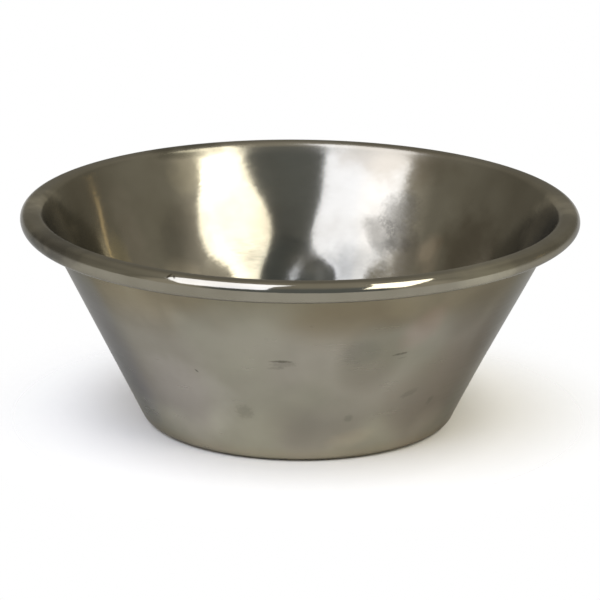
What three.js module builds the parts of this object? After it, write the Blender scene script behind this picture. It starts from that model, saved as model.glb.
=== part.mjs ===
// A small steel ramekin of the kind used for sauces and dips. It is one disc of sheet steel, drawn to
// a flat-based flared cup, and its edge is rolled outwards into a hollow bead that stiffens the mouth.
// Millimetres, +Z up. The origin is the centre of the underside, so the cup stands on z = 0.
import * as THREE from "three";

// Driving dimensions.
const rimDiameter = 77; // over the outside of the rolled bead
const cupHeight = 30; // from the table to the top of the bead
const standingDiameter = 40; // flat of the base, up to where the bend into the wall begins
const sheet = 0.5; // thickness of the steel
const punchRadius = 1.5; // bend between floor and wall, on the inside of the cup
const curlBore = 1.6; // width of the hollow inside the rolled bead
const curlGap = 0.15; // left between the closed curl and the wall

// Smoothness of the turned surface.
const turnSteps = 80; // flats around the axis
const arcStep = THREE.MathUtils.degToRad(20); // longest step along a bend

// The steel's two faces in the bend at the base and in the bead.
const cornerRadius = punchRadius + sheet;
const boreRadius = curlBore / 2;
const beadRadius = boreRadius + sheet;

// Centres of those bends in the turned section, as (distance from the axis, height).
const crownRadius = rimDiameter / 2 - beadRadius; // where the rim is highest
const cornerCentre = new THREE.Vector2(standingDiameter / 2, cornerRadius);
const beadCentre = new THREE.Vector2(crownRadius, cupHeight - beadRadius);

// The wall's outer face is the straight line that touches the bend at the base and passes the bead with
// the gap. wallNormal is the direction of its normal, towards the axis, and wallLean its lean from upright.
const bendToBend = cornerCentre.clone().sub(beadCentre);
const wallOffset = beadRadius + curlGap;
const wallNormal = bendToBend.angle() - Math.acos((wallOffset + cornerRadius) / bendToBend.length());
const wallLean = Math.PI - wallNormal;

// The flare is the wider bend that takes the wall up to the crown, where it runs on into the bead. Its
// centre lies below the bead's, and it touches both the wall and the level of the crown.
const flareRadius = beadRadius + (sheet + curlGap) / (1 - Math.sin(wallLean)); // on the inside of the cup
const throatRadius = flareRadius - sheet;
const flareCentre = new THREE.Vector2(crownRadius, cupHeight - flareRadius);

const crown = Math.PI / 2;
const underneath = -Math.PI / 2;
const curlEnd = wallNormal - 2 * Math.PI; // the curl goes round until its cut edge faces the wall

// Points along a bend, from one direction to another as seen from its centre.
function bend(centre, radius, from, to) {
  const clockwise = from > to;
  const curve = new THREE.EllipseCurve(centre.x, centre.y, radius, radius, from, to, clockwise);
  return curve.getPoints(Math.ceil(Math.abs(to - from) / arcStep));
}

// The section of the steel on one side of the axis: along its outer face to the cut edge of the curl,
// and back along its inner face to the middle of the floor. Two bends meet at the crown, so the point
// that they share is left out of the second.
function section() {
  const outerFace = [
    new THREE.Vector2(0, 0),
    ...bend(cornerCentre, cornerRadius, underneath, -wallLean),
    ...bend(flareCentre, throatRadius, wallNormal, crown),
    ...bend(beadCentre, boreRadius, crown, curlEnd).slice(1),
  ];
  const innerFace = [
    ...bend(beadCentre, beadRadius, curlEnd, crown),
    ...bend(flareCentre, flareRadius, crown, wallNormal).slice(1),
    ...bend(cornerCentre, punchRadius, -wallLean, underneath),
    new THREE.Vector2(0, sheet),
  ];
  return [...outerFace, ...innerFace];
}

function makeCup() {
  const turned = new THREE.LatheGeometry(section(), turnSteps);
  turned.rotateX(Math.PI / 2); // the lathe turns about +Y
  const satinSteel = new THREE.MeshStandardMaterial({ color: 0xc4bfb4, roughness: 0.25, metalness: 1 });
  const cup = new THREE.Mesh(turned, satinSteel);
  cup.name = "pressed_cup";
  return cup;
}

const ramekin = new THREE.Group();
ramekin.name = "ramekin";
ramekin.add(makeCup());

export default ramekin;
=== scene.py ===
# A small pressed-steel ramekin on a pale floor, in metres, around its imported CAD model.
# Bearings are in degrees about +Z: 0 is the camera's side, and positive bearings are to its right.
import math

import bpy
import numpy as np
from mathutils import Matrix, Vector


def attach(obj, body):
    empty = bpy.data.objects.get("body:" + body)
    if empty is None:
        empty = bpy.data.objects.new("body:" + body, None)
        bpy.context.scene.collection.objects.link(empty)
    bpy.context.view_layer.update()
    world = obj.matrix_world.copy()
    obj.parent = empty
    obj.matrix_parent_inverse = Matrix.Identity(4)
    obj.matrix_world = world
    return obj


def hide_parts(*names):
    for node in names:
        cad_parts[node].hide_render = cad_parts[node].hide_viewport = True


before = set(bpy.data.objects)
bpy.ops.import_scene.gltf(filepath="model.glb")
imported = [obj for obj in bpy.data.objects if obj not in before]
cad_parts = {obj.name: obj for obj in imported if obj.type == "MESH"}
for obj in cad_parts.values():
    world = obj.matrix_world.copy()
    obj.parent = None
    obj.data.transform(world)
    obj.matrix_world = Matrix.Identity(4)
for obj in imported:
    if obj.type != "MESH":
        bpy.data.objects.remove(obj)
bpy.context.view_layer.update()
scene = bpy.context.scene
mm = 0.001
print("frame loaded, nodes:", sorted(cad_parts))


# Shader maths as Python: a signal is a socket in a node tree, and operators on it add Math nodes.
class Signal:
    def __init__(self, tree, socket=None):
        self.tree = tree
        self.socket = socket

    # Any node: its settings are set first, then its sockets get values or links. One output comes back.
    def make(self, kind, settings=None, sockets=None, output=0):
        node = self.tree.nodes.new(kind)
        for name, value in (settings or {}).items():
            setattr(node, name, value)
        for name, value in (sockets or {}).items():
            if isinstance(value, Signal):
                self.tree.links.new(value.socket, node.inputs[name])
            else:
                node.inputs[name].default_value = value
        return Signal(self.tree, node.outputs[output])

    def maths(self, operation, *values):
        return self.make("ShaderNodeMath", {"operation": operation}, dict(enumerate(values)))

    def __add__(self, other):
        return self.maths("ADD", self, other)

    def __sub__(self, other):
        return self.maths("SUBTRACT", self, other)

    def __rsub__(self, other):
        return self.maths("SUBTRACT", other, self)

    def __mul__(self, other):
        return self.maths("MULTIPLY", self, other)

    def __truediv__(self, other):
        return self.maths("DIVIDE", self, other)

    def __pow__(self, other):
        return self.maths("POWER", self, other)

    __radd__ = __add__
    __rmul__ = __mul__

    # 0 below low, 1 above high, and an S-shaped curve between
    def rise(self, low, high):
        settings = {"interpolation_type": "SMOOTHSTEP"}
        return self.make("ShaderNodeMapRange", settings, {0: self, 1: low, 2: high})

    def blendColour(self, first, second):
        return self.make("ShaderNodeMix", {"data_type": "RGBA"}, {0: self, 6: first, 7: second}, 2)

    # a colour times a tint, as far as this signal is 1
    def tint(self, colour, other):
        settings = {"data_type": "RGBA", "blend_type": "MULTIPLY"}
        return self.make("ShaderNodeMix", settings, {0: self, 6: colour, 7: other}, 2)

    # along a fixed direction, on a vector
    def along(self, direction):
        return self.make("ShaderNodeVectorMath", {"operation": "DOT_PRODUCT"}, {0: self, 1: direction}, 1)

    def noise(self, scale, detail=2.0):
        return self.make("ShaderNodeTexNoise", None, {"Vector": self, "Scale": scale, "Detail": detail})


def newMaterial(name):
    material = bpy.data.materials.new(name)
    material.use_nodes = True
    tree = material.node_tree
    return material, Signal(tree), tree.nodes["Principled BSDF"]


def feed(node, sockets):
    for name, value in sockets.items():
        if isinstance(value, Signal):
            value.tree.links.new(value.socket, node.inputs[name])
        else:
            node.inputs[name].default_value = value


# The horizontal directions at a bearing: away from the axis, and round it towards larger bearings.
def bearingAxes(degrees):
    b = math.radians(degrees)
    return (math.sin(b), -math.cos(b), 0.0), (math.cos(b), math.sin(b), 0.0)


# Cup: one sheet of steel, turned about +Z, with a rolled rim.
cup = {
    "rimRadius": 38.5 * mm,  # over the outside of the bead
    "height": 30 * mm,
    "standingRadius": 20 * mm,  # flat of the base
    "sheet": 0.5 * mm,
    "punchRadius": 1.5 * mm,  # inside bend between floor and wall
    "curlBore": 1.6 * mm,  # hollow of the bead
    "curlGap": 0.15 * mm,  # between the closed curl and the wall
    "neckRadius": 1.2 * mm,  # bend from the wall to the flat top of the rim, on the inside of the cup
    "turnSteps": 400,
    "floorSteps": 6,
    "wallSteps": 58,
    "bendStep": math.radians(6),
    "hollowStep": math.radians(15),  # inside the bead, where it doesn't show
}

# Soft dents of the wall, as (bearing, height of the middle, half width, half height, depth) with lengths in
# millimetres, and a slight unroundness. A depth is towards the axis, or outwards if it is negative.
dents = {
    "places": [(208.8, 11.5, 3, 4.4, 0.31), (152.8, 8.4, 4.5, 11, 0.44), (163.5, 11.9, 2.5, 3, -0.18),
               (169.3, 16.9, 3, 3, 0.22), (196.8, 18.8, 3.5, 4.2, 0.55), (178.4, 12.8, 1.8, 2, 0.21),
               (172.8, 11.8, 2.2, 2.2, 0.27), (180.8, 10.4, 2.1, 2.4, 0.34), (246, 17.5, 4, 4.5, -0.4)],
    "waves": [(5, 0.8, 0.03), (9, 2.1, 0.012), (13, 4.0, 0.006)],  # waves round the cup, phase, depth
    "fade": 3 * mm,  # dents die out over this length at both ends of the wall
}

# The rim is uneven: the curl hangs lower at one bearing, and the mouth is a little wider at another.
rim = {
    "hang": -0.09 * mm,
    "hangMore": 0.44 * mm,
    "hangBearing": -40,
    "wider": 0.3 * mm,
    "widerBearing": 85,
    "widerRise": (7 * mm, 25 * mm),
}


# A bend is centre + radius * (cos a, sin a), with a going from one direction to another.
def bend(centre, radius, start, end, step=cup["bendStep"]):
    steps = math.ceil(abs(end - start) / step)
    a = np.linspace(start, end, steps + 1)
    return np.stack([centre[0] + radius * np.cos(a), centre[1] + radius * np.sin(a)], axis=1)


# Points of the straight line between two points, without its ends.
def between(first, last, steps):
    share = np.linspace(0, 1, steps + 1)[1:-1, None]
    return first + share * (last - first)


# The section on one side of the axis, as (radius, height): along the sheet's outer face from the middle
# of the underside to the cut edge of the curl, and back along its inner face to the middle of the floor.
# The wall's outer face touches the base bend and passes the bead with the gap. The neck's centre lies
# inwards of the bead's by the flat land that is left between them. Also returned: the number of points on
# the outer face, the two ends of the wall's inner face, top first, and the bead as its centre and radius.
def cupSection():
    sheet = cup["sheet"]
    corner = cup["punchRadius"] + sheet
    bore = cup["curlBore"] / 2
    bead = bore + sheet
    neck = cup["neckRadius"]
    crownRadius = cup["rimRadius"] - bead
    cornerCentre = np.array([cup["standingRadius"], corner])
    beadCentre = np.array([crownRadius, cup["height"] - bead])
    across = cornerCentre - beadCentre
    clear = bead + cup["curlGap"]
    apart = np.hypot(*across)
    normal = math.atan2(across[1], across[0]) - math.acos((clear + corner) / apart) + 2 * math.pi
    lean = math.pi - normal
    land = (clear + sheet - neck - math.sin(lean) * (bead - neck)) / math.cos(lean)
    neckCentre = np.array([crownRadius - land, cup["height"] - neck])
    up, down, curlEnd = math.pi / 2, -math.pi / 2, normal - 2 * math.pi
    underBend = bend(cornerCentre, corner, down, -lean)
    throat = bend(neckCentre, neck - sheet, normal, up)
    hollow = bend(beadCentre, bore, up, curlEnd, cup["hollowStep"])
    beadFace = bend(beadCentre, bead, curlEnd, up)
    neckFace = bend(neckCentre, neck, up, normal)
    floorBend = bend(cornerCentre, cup["punchRadius"], -lean, down)
    pole = np.array([[0, 0.0]])
    floorPole = np.array([[0, sheet]])
    outer = [pole, between(pole[0], underBend[0], cup["floorSteps"]), underBend,
             between(underBend[-1], throat[0], cup["wallSteps"]), throat, hollow]
    inner = [beadFace, neckFace, between(neckFace[-1], floorBend[0], cup["wallSteps"]), floorBend,
             between(floorBend[-1], floorPole[0], cup["floorSteps"]), floorPole]
    outerFace = np.concatenate(outer)
    section = np.concatenate([outerFace, *inner])
    return section, len(outerFace), (neckFace[-1], floorBend[0]), (beadCentre, bead)


# An S-shaped rise from 0 to 1: share^2 * (3 - 2 * share), with the share of the way from low to high.
def smoothRise(value, low, high):
    share = np.clip((value - low) / (high - low), 0, 1)
    return share * share * (3 - 2 * share)


# The turn about +Z, counted from +X, at a bearing.
def turnAt(bearing):
    return math.radians(bearing - 90)


# How far the wall is pushed towards the axis at turn t and distance s along the wall. A dent is
# depth * exp(-(u^2 + v^2) / 2), with u and v the distances round and along the wall in half widths and
# half heights. Waves are depth * cos(count * t + phase). All of it fades at the ends of the wall.
def wallPush(t, r, s, wall):
    top, bottom = wall
    upWall = (top - bottom) / np.linalg.norm(top - bottom)
    push = np.zeros_like(s)
    for bearing, height, halfWidth, halfHeight, depth in dents["places"]:
        middle = bottom + upWall * (height * mm - bottom[1]) / upWall[1]
        turn = t - turnAt(bearing)
        turn = (turn + math.pi) % (2 * math.pi) - math.pi
        u = turn * r / (halfWidth * mm)
        v = (s - middle @ upWall) / (halfHeight * mm)
        push += depth * mm * np.exp(-(u * u + v * v) / 2)
    for count, phase, depth in dents["waves"]:
        push += depth * mm * np.cos(count * t + phase)
    low, high = bottom @ upWall, top @ upWall
    fade = dents["fade"]
    return push * smoothRise(s, low, low + fade) * (1 - smoothRise(s, high - fade, high))


# How much an uneven place counts at turn t: the cosine of the turn from its bearing.
def towards(t, bearing):
    return np.cos(t - turnAt(bearing))


# The section turned about +Z: (r cos t, r sin t, z), with the wall pushed along its normal by the dents and
# one vertex at each pole. The bead's lower half is stretched to hang lower, and the mouth widens towards its
# top. Rows are rings.
def turnedCup():
    section, outerCount, wall, (beadCentre, bead) = cupSection()
    rings = section[1:-1]
    count, steps = len(rings), cup["turnSteps"]
    t = np.arange(steps) * 2 * math.pi / steps
    r = np.repeat(rings[:, :1], steps, axis=1)
    z = np.repeat(rings[:, 1:], steps, axis=1)
    upWall = (wall[0] - wall[1]) / np.linalg.norm(wall[0] - wall[1])
    push = wallPush(t[None, :], r, r * upWall[0] + z * upWall[1], wall)
    fromBead = np.hypot(r - beadCentre[0], z - beadCentre[1])
    lowCurl = (fromBead < bead + cup["curlGap"] / 2) & (z < beadCentre[1])
    hang = (rim["hang"] + rim["hangMore"] * towards(t, rim["hangBearing"])) / bead
    wider = rim["wider"] * np.maximum(towards(t, rim["widerBearing"]), 0) ** 2
    r = r - push * upWall[1] + wider * smoothRise(z, *rim["widerRise"])
    z = z + push * upWall[0] + np.where(lowCurl, (z - beadCentre[1]) * hang, 0)
    grid = np.stack([r * np.cos(t), r * np.sin(t), z], axis=2).reshape(-1, 3)
    ends = np.array([[0, 0, section[0, 1]], [0, 0, section[-1, 1]]])
    here = np.arange(count * steps).reshape(count, steps)
    beside = np.roll(here, -1, axis=1)
    quads = np.stack([here[:-1], beside[:-1], beside[1:], here[1:]], axis=2).reshape(-1, 4)
    underPole, floorPole = count * steps, count * steps + 1
    under = np.stack([np.full(steps, underPole), beside[0], here[0]], axis=1)
    top = np.stack([np.full(steps, floorPole), here[-1], beside[-1]], axis=1)
    isInner = np.concatenate([np.repeat(np.arange(count - 1) >= outerCount - 1, steps),
                              np.zeros(steps, bool), np.ones(steps, bool)])
    mesh = bpy.data.meshes.new("pressedCup")
    mesh.from_pydata(np.concatenate([grid, ends]).tolist(), [],
                     quads.tolist() + under.tolist() + top.tolist())
    mesh.polygons.foreach_set("use_smooth", np.ones(len(mesh.polygons), bool))
    mesh.polygons.foreach_set("material_index", isInner.astype(np.int32))
    mesh.update()
    return mesh


# Places on the cup for the materials: the point, the direction from the axis with the height as a vector
# that is stretched along the polishing lines, and the height and the radius in millimetres.
def cupPlaces(start, around, upwards):
    place = start.make("ShaderNodeTexCoord", output=3)
    x, y, z = (place.make("ShaderNodeSeparateXYZ", None, {0: place}, axis) for axis in range(3))
    radius = (x * x + y * y) ** 0.5
    lines = start.make("ShaderNodeCombineXYZ", None, {0: x / radius * around, 1: y / radius * around,
                                                      2: z * upwards})
    return place, lines, z / mm, radius / mm


# Wear and painted light: the grain that frays the edges of marks, and the distance from the axis that keeps
# a mark to its own side of the cup.
wear = {"grainScale": 2500, "detail": 3.0, "fray": 1.6, "sideRise": (5 * mm, 10 * mm)}


# Noise about 0, for the edges of marks.
def frayed(place, scale, amount):
    return (place.noise(scale, wear["detail"]) - 0.5) * amount


# A mark is an ellipse on the wall with a ragged edge: 1 in its middle and 0 outside. It serves both for wear
# and for painted light. The marks are (bearing, height, half length, half width, slant), with lengths in
# millimetres.
def wearAndLightMark(place, height, ragged, mark):
    bearing, middle, halfLength, halfWidth, slant = mark
    away, across = bearingAxes(bearing)
    u = place.along(across) / mm
    v = height - middle - u * slant
    spread = (u / halfLength) ** 2 + (v / halfWidth) ** 2 + ragged
    return (1 - spread.rise(0.0, 1.0)) * place.along(away).rise(*wear["sideRise"])


# Fine lines in the surface, as deep as given.
def lineRelief(streak, depth):
    return streak.make("ShaderNodeBump", None, {"Strength": 1.0, "Distance": depth, "Height": streak})


# Satin finish of the sheet's outer face: cloudy, with painted shade that makes it darker and browner below
# the bead, with painted light that makes it lighter towards the foot, tan at its edge, stained and with
# painted reflections and painted shade towards its sides, and marked by use. Each stain or patch of painted
# light is a mark with a tint. The rises of the parts are in millimetres of height.
satin = {
    "colour": (0.277, 0.265, 0.211, 1),
    "rosy": (0.284, 0.265, 0.22, 1),
    "cloudScale": 75,
    "cloudDetail": 1.5,
    "cloudRise": (0.35, 0.65),
    "cloudShift": 4,  # millimetres of height between places with and without cloud
    "shadeScale": 130,
    "shadeDetail": 3.0,
    "shadeRise": (0.3, 0.75),
    "shade": (0.88, 0.88, 0.88, 1),
    # painted shade: darker and browner below the overhanging bead
    "paintedShadeUnderBead": (0.72, 0.67, 0.56, 1),
    "paintedShadeUnderBeadRise": (19, 27),
    # painted light: lighter towards the foot
    "paintedLightFoot": (1.34, 1.34, 1.33, 1),
    "paintedLightFootRise": (2, 9),
    "hem": (1, 0.955, 0.91, 1),
    "hemRise": (0.8, 2.8),
    "edgeTint": (0.5, 0.5, 0.5, 1),
    "roughness": 0.3,
    "lineRoughness": 0.1,
    "shadeRoughness": 0.08,
    "around": 3,
    "upwards": 2600,
    "lineDepth": 0.002 * mm,
    "soil": (0.09, 0.083, 0.065, 1),
    "markFray": 1.2,
    # stains, and painted reflections and painted shade that lighten or darken the sides and patches of the
    # wall
    "stainsAndPaintedLight": [(-38, 9, 10, 8, 0.1, (1.17, 1.16, 1.22, 1)), (-64, 15, 8, 15, 0, (0.81, 0.83, 0.94, 1)),
               (50, 12, 11, 12, 0.3, (0.82, 0.78, 0.77, 1)), (32, 21, 4, 4, 0.5, (1.08, 1, 1.02, 1)),
               (18, 3.6, 4.5, 2, 0.1, (1.15, 1.1, 1.06, 1)), (-1, 6, 5, 5, 0, (0.9, 0.89, 0.89, 1)),
               (14, 24, 12, 4, 0, (0.92, 0.9, 0.86, 1)), (20, 17.5, 6, 7, 0.2, (0.78, 0.77, 0.75, 1)),
               (46, 22, 6, 5, 0.3, (0.85, 0.85, 0.86, 1)), (-41, 23.5, 9, 4, 0, (1.24, 1.24, 1.24, 1)),
               (26, 26, 5, 3.5, 0, (1.16, 1.17, 1.16, 1)), (61, 18, 6, 8, 0, (0.84, 0.83, 0.82, 1)),
               (49, 4.4, 4, 3, 0.1, (1.18, 1.17, 1.17, 1)),
               (16.7, 18, 3.2, 2.4, 0.1, (0.9, 0.91, 0.92, 1))],
    "scratches": [(-4.4, 16.8, 2, 0.25, 0.02), (-28.6, 14, 0.35, 0.2, -0.6), (27.2, 17.1, 1.5, 0.22, 0.08)],
    "smudges": [(-16.3, 8.1, 1.6, 1.4, 0), (45.3, 7.9, 0.7, 0.9, 0.3), (-3.6, 16.3, 2.2, 0.5, 0.05),
                (16.1, 7.1, 0.8, 0.8, 0), (34.7, 10, 1.6, 0.7, 0.3), (-5.6, 15.7, 1.6, 0.3, 0.05),
                (28, 16.4, 0.9, 0.14, 0.12)],
    "scratchStrength": 0.75,
    "smudgeStrength": 0.25,
}


def satinSteel():
    material, start, surface = newMaterial("satinSteel")
    place, lines, height = cupPlaces(start, satin["around"], satin["upwards"])[:3]
    cloud = place.noise(satin["cloudScale"], satin["cloudDetail"]).rise(*satin["cloudRise"])
    shade = place.noise(satin["shadeScale"], satin["shadeDetail"])
    colour = cloud.blendColour(satin["colour"], satin["rosy"])
    wavyHeight = height + (cloud - 0.5) * satin["cloudShift"]
    # painted shade below the bead
    colour = wavyHeight.rise(*satin["paintedShadeUnderBeadRise"]).tint(colour, satin["paintedShadeUnderBead"])
    # painted light towards the foot
    colour = (1 - wavyHeight.rise(*satin["paintedLightFootRise"])).tint(colour, satin["paintedLightFoot"])
    colour = (1 - height.rise(*satin["hemRise"])).tint(colour, satin["hem"])
    colour = shade.rise(*satin["shadeRise"]).tint(colour, satin["shade"])
    soft = (shade - 0.5) * satin["markFray"]
    # stains, and painted reflections and painted shade, tinted into the colour
    for *mark, tint in satin["stainsAndPaintedLight"]:
        colour = wearAndLightMark(place, height, soft, mark).tint(colour, tint)
    ragged = frayed(place, wear["grainScale"], wear["fray"])
    worn = 0
    for mark in satin["scratches"]:
        worn = wearAndLightMark(place, height, ragged, mark) * satin["scratchStrength"] + worn
    for mark in satin["smudges"]:
        worn = wearAndLightMark(place, height, ragged, mark) * satin["smudgeStrength"] + worn
    colour = worn.blendColour(colour, satin["soil"])
    streak = lines.noise(1.0)
    roughness = satin["roughness"] + (streak - 0.5) * satin["lineRoughness"]
    roughness = roughness + (shade - 0.5) * satin["shadeRoughness"]
    feed(surface, {"Base Color": colour, "Metallic": 1.0, "Specular Tint": satin["edgeTint"],
                   "Roughness": roughness, "Normal": lineRelief(streak, satin["lineDepth"])})
    return material


# Polished finish of the inner face and the rim, with polishing lines that run round the cup. It is hazy,
# unevenly stained, carries painted reflections and painted shade, and is dull where it is scuffed. The rim
# is duller, but shiny on the front of its crown.
# The bead's rise is in millimetres of radius, the front's is in the cosine of the bearing, and the shine's
# and the neck's are in millimetres of height.
polish = {
    "colour": (0.254, 0.236, 0.187, 1),
    "haze": (0.86, 0.85, 0.83, 1),
    "hazeScale": 110,
    "hazeDetail": 3.0,
    "hazeRise": (0.35, 0.7),
    "metallic": 0.93,
    "edgeTint": (0.54, 0.54, 0.54, 1),
    "roughness": 0.16,
    "lineRoughness": 0.06,
    "hazeRoughness": 0.12,
    "anisotropy": 0.75,
    "quarterTurn": 0.25,
    "around": 18,
    "upwards": 2200,
    "lineDepth": 0.01 * mm,
    "rimRoughness": 0.26,
    "beadRise": (36.3, 37.1),
    "shineRoughness": 0.08,
    "shineFront": (0.55, 0.85),
    "shineRise": (27.6, 28.6),
    "neckRoughness": 0.24,
    "neckRise": (28, 29.5),
    "markScale": 300,
    "markFray": 1.4,
    # painted reflections and painted shade that lighten or darken the reflections inside and on the rim, and
    # uneven stains
    "stainsAndPaintedLight": [(163, 13, 6, 5.5, 0, (0.66, 0.67, 0.68, 1)), (125, 18, 9, 7, 0.3, (0.66, 0.63, 0.6, 1)),
               (156, 30, 12, 6, 0, (0.8, 0.77, 0.73, 1)), (140, 17, 2.6, 3.4, 0, (1.4, 1.32, 1.3, 1)),
               (231, 20, 3.2, 9, 0, (1.16, 1.14, 1.16, 1)), (267, 25, 9, 8, 0, (2.1, 2.1, 2.1, 1)),
               (94, 25, 9, 8, 0, (1.9, 1.9, 1.9, 1)), (184, 13.5, 6, 5, 0, (0.68, 0.7, 0.72, 1)),
               (213, 18.5, 6, 5, 0, (0.78, 0.78, 0.79, 1)), (147, 16, 2.2, 6, 0, (0.75, 0.74, 0.74, 1)),
               (208, 29.6, 7, 1.2, 0, (0.5, 0.5, 0.48, 1)),
               (209, 27, 4, 3.5, 0, (1.3, 1.29, 1.24, 1)), (218, 13.5, 3.5, 3, 0, (1.35, 1.32, 1.3, 1)),
               (187, 19.5, 5, 4, 0, (0.86, 0.85, 0.85, 1)), (-70, 27.8, 11, 2.2, 0, (0.66, 0.68, 0.7, 1)),
               (78, 27.8, 7, 2.2, 0, (0.75, 0.74, 0.74, 1)), (41, 29, 6, 2.5, 0, (1.3, 1.3, 1.26, 1)),
               (238, 18.5, 2.5, 4, 0, (1.25, 1.2, 1.05, 1)), (171, 12.5, 2.2, 2.5, 0, (1.3, 1.3, 1.35, 1)),
               (140.5, 17.2, 1.5, 2.2, 0, (1.25, 1.24, 1.24, 1)),
               (175, 12.3, 2, 1.8, 0, (1.4, 1.4, 1.45, 1)), (-61, 29.2, 9, 2.2, 0, (0.54, 0.54, 0.56, 1))],
    "dull": [(152, 21.7, 4, 3.2, 0), (156.6, 18.5, 3.6, 2.8, 0.4), (150, 18.6, 3.2, 2.6, 0)],
    "dullTint": (0.6, 0.6, 0.6, 1),
    "dullSpeckle": 0.35,
    "dullRoughness": 0.05,
    "nicks": [(-26.5, 29.75, 0.36, 0.2, 0.4), (-25.3, 29.72, 0.26, 0.16, -0.5)],
    "nickTint": (0.3, 0.28, 0.25, 1),
}


def polishedSteel():
    material, start, surface = newMaterial("polishedSteel")
    place, lines, height, radius = cupPlaces(start, polish["around"], polish["upwards"])
    streak = lines.noise(1.0)
    haze = place.noise(polish["hazeScale"], polish["hazeDetail"])
    colour = haze.rise(*polish["hazeRise"]).tint(polish["colour"], polish["haze"])
    soft = frayed(place, polish["markScale"], polish["markFray"])
    ragged = frayed(place, wear["grainScale"], wear["fray"])
    scuffed = 0
    # painted reflections and painted shade, with stains, tinted into the colour
    for *mark, tint in polish["stainsAndPaintedLight"]:
        colour = wearAndLightMark(place, height, soft, mark).tint(colour, tint)
    for mark in polish["dull"]:
        dullness = wearAndLightMark(place, height, soft + ragged * polish["dullSpeckle"], mark)
        colour = dullness.tint(colour, polish["dullTint"])
        scuffed = dullness * polish["dullRoughness"] + scuffed
    for mark in polish["nicks"]:
        colour = wearAndLightMark(place, height, ragged, mark).tint(colour, polish["nickTint"])
    roughness = polish["roughness"] + (streak - 0.5) * polish["lineRoughness"]
    roughness = roughness + (haze - 0.5) * polish["hazeRoughness"]
    onNeck = height.rise(*polish["neckRise"])
    onBead = radius.rise(*polish["beadRise"])
    ahead = place.along((0.0, -1.0, 0.0)) / mm / radius
    shiny = onBead * ahead.rise(*polish["shineFront"]) * height.rise(*polish["shineRise"])
    roughness = roughness * (1 - onNeck) + onNeck * polish["neckRoughness"]
    roughness = roughness * (1 - onBead) + onBead * polish["rimRoughness"]
    roughness = roughness * (1 - shiny) + shiny * polish["shineRoughness"]
    feed(surface, {"Base Color": colour, "Metallic": polish["metallic"], "Specular Tint": polish["edgeTint"],
                   "Roughness": roughness + scuffed, "Normal": lineRelief(streak, polish["lineDepth"]),
                   "Anisotropic": polish["anisotropy"], "Anisotropic Rotation": polish["quarterTurn"]})
    return material


def makeCup():
    piece = bpy.data.objects.new("steelCup", turnedCup())
    scene.collection.objects.link(piece)
    piece.data.materials.append(satinSteel())
    piece.data.materials.append(polishedSteel())
    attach(piece, "root")
    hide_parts("pressed_cup")
    print("cup:", len(piece.data.polygons), "faces")


# Pale floor: a disc with the edge radius * (cos t, sin t), just under the cup. It fades into the white
# around it.
floor = {"radius": 0.5, "drop": 0.01 * mm, "steps": 96, "colour": (0.95, 0.93, 0.87, 1),
         "fadeFrom": 0.02, "fadeTo": 0.05}


def paleFloor():
    material, start, surface = newMaterial("paleFloor")
    place = start.make("ShaderNodeTexCoord", output=3)
    distance = start.make("ShaderNodeVectorMath", {"operation": "LENGTH"}, {0: place}, 1)
    solid = 1 - distance.rise(floor["fadeFrom"], floor["fadeTo"])
    feed(surface, {"Base Color": floor["colour"], "Roughness": 1.0, "Specular IOR Level": 0.0,
                   "Alpha": solid})
    return material


def makeFloor():
    t = np.arange(floor["steps"]) * 2 * math.pi / floor["steps"]
    edge = floor["radius"] * np.stack([np.cos(t), np.sin(t), np.zeros_like(t)], axis=1)
    edge[:, 2] = -floor["drop"]
    mesh = bpy.data.meshes.new("paleFloor")
    mesh.from_pydata(edge.tolist(), [], [list(range(floor["steps"]))])
    mesh.update()
    disc = bpy.data.objects.new("paleFloor", mesh)
    disc.data.materials.append(paleFloor())
    scene.collection.objects.link(disc)
    print("floor: radius", floor["radius"])


# Softboxes: panels that lean over the cup from both sides of the camera, and a narrow gold reflector low at
# the right. Each goes from the middle of its bottom edge to the middle of its top edge, in metres.
softboxes = {
    "wattsPerRadiance": 4,  # an area lamp's watts for each square metre at a radiance of 1
    "panels": {
        "warm": {"bottom": (0.985, -1.385, 0.831), "top": (0.81, 0.105, 2.11), "width": 0.555,
                 "radiance": 5, "colour": (1, 0.98, 0.92)},
        "cool": {"bottom": (-0.848, -1.353, 0.815), "top": (-0.508, 0.421, 2.765), "width": 1.06,
                 "radiance": 4, "colour": (0.74, 0.79, 1)},
        "gold": {"bottom": (1.37, 0.61, 0.29), "top": (1.37, 0.61, 0.46), "width": 0.034,
                 "radiance": 2.2, "colour": (1, 0.76, 0.4)},
    },
}


# A panel's axes: up its length, across it, and away from the cup. The lamp shines against the last.
def makeSoftboxes():
    for name, panel in softboxes["panels"].items():
        bottom, top = Vector(panel["bottom"]), Vector(panel["top"])
        up = (top - bottom).normalized()
        away = bottom - up * bottom.dot(up)
        across = up.cross(away).normalized()
        lamp = bpy.data.lights.new(name, "AREA")
        lamp.shape = "RECTANGLE"
        lamp.size, lamp.size_y = panel["width"], (top - bottom).length
        lamp.energy = softboxes["wattsPerRadiance"] * lamp.size * lamp.size_y * panel["radiance"]
        lamp.color = panel["colour"]
        stand = bpy.data.objects.new(name, lamp)
        stand.location = (bottom + top) / 2
        stand.rotation_mode = "QUATERNION"
        stand.rotation_quaternion = Matrix((across, up, across.cross(up))).transposed().to_quaternion()
        scene.collection.objects.link(stand)
    print("softboxes:", len(softboxes["panels"]))


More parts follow.
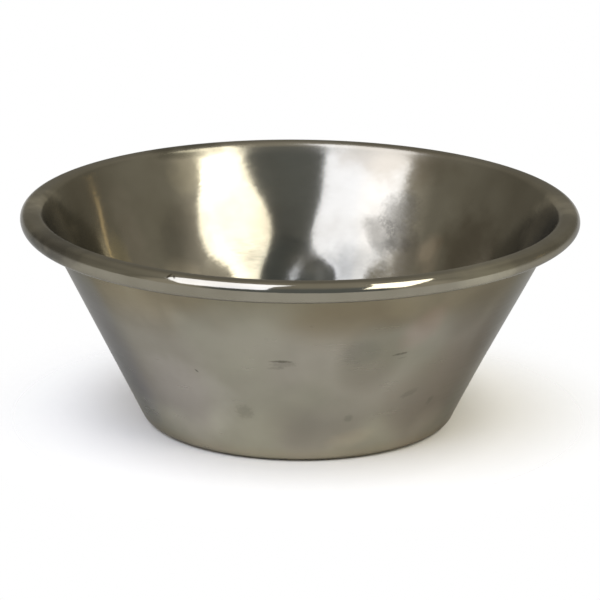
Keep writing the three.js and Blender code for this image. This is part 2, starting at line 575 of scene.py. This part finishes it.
# Surroundings: white below the horizon, and above it a dim room, darkest in front and lighter beside the
# panels, at the back and overhead. The rises of the sides are in the cosine of the bearing, and those of the
# horizon and overhead are in the sine of the elevation.
room = {
    "white": (1, 1, 1, 1),
    "back": (0.43, 0.405, 0.345, 1),
    "corner": (0.31, 0.29, 0.24, 1),
    "flank": (0.46, 0.44, 0.38, 1),
    "glow": (0.9, 0.86, 0.78, 1),
    "front": (0.22, 0.25, 0.27, 1),
    "overhead": (0.6, 0.57, 0.5, 1),
    "cornerRise": (-0.95, -0.65),
    "flankRise": (-0.45, 0.1),
    "glowRise": (0.3, 0.52),
    "frontRise": (0.72, 0.85),
    "overheadRise": (0.6, 1.0),
    "horizonRise": (-0.02, 0.04),
    "shadeScale": 2.2,
    "shadeDetail": 1.0,
    "shadeRise": (0.35, 0.65),
    "shade": (0.8, 0.79, 0.77, 1),
    "polesGuard": 0.0001,  # keeps straight up and down from dividing by 0
}


def makeRoom():
    world = bpy.data.worlds.new("studioRoom")
    world.use_nodes = True
    scene.world = world
    start = Signal(world.node_tree)
    direction = start.make("ShaderNodeTexCoord", output=0)
    x, y, z = (start.make("ShaderNodeSeparateXYZ", None, {0: direction}, axis) for axis in range(3))
    level = (x * x + y * y + room["polesGuard"]) ** 0.5
    upright = start.make("ShaderNodeCombineXYZ", None, {0: x / level, 1: y / level})
    ahead = 0 - y / level
    colour = room["back"]
    for side in ("corner", "flank", "glow"):
        colour = ahead.rise(*room[side + "Rise"]).blendColour(colour, room[side])
    shade = upright.noise(room["shadeScale"], room["shadeDetail"])
    colour = shade.rise(*room["shadeRise"]).tint(colour, room["shade"])
    colour = ahead.rise(*room["frontRise"]).blendColour(colour, room["front"])
    colour = z.rise(*room["overheadRise"]).blendColour(colour, room["overhead"])
    colour = z.rise(*room["horizonRise"]).blendColour(room["white"], colour)
    feed(world.node_tree.nodes["Background"], {"Color": colour, "Strength": 1.0})
    print("room: front", room["front"][0], "back", room["back"][0])


# Camera of the photograph: from a low angle it looks at a point close to the cup's axis, tilted a little.
shot = {"target": (0.225 * mm, 0, 16.58 * mm), "distance": 600 * mm, "elevation": 16.53, "tilt": 0.506,
        "focalPixels": 4316.6, "framePixels": 600, "sensor": 36, "clip": (0.05, 20)}


def makeCamera():
    e = math.radians(shot["elevation"])
    back = Vector((0, -math.cos(e), math.sin(e)))
    lens = bpy.data.cameras.new("photoCamera")
    lens.sensor_width = shot["sensor"]
    lens.lens = shot["focalPixels"] / shot["framePixels"] * shot["sensor"]
    lens.clip_start, lens.clip_end = shot["clip"]
    camera = bpy.data.objects.new("photoCamera", lens)
    tilt = Matrix.Rotation(math.radians(shot["tilt"]), 3, "Z")
    look = (-back).to_track_quat("-Z", "Y").to_matrix() @ tilt
    camera.rotation_mode = "QUATERNION"
    camera.rotation_quaternion = look.to_quaternion()
    camera.location = Vector(shot["target"]) + back * shot["distance"]
    scene.collection.objects.link(camera)
    scene.camera = camera
    print("camera: lens", round(lens.lens, 1))


makeCamera()
makeCup()
makeFloor()
makeSoftboxes()
makeRoom()
scene.view_settings.view_transform = "Standard"
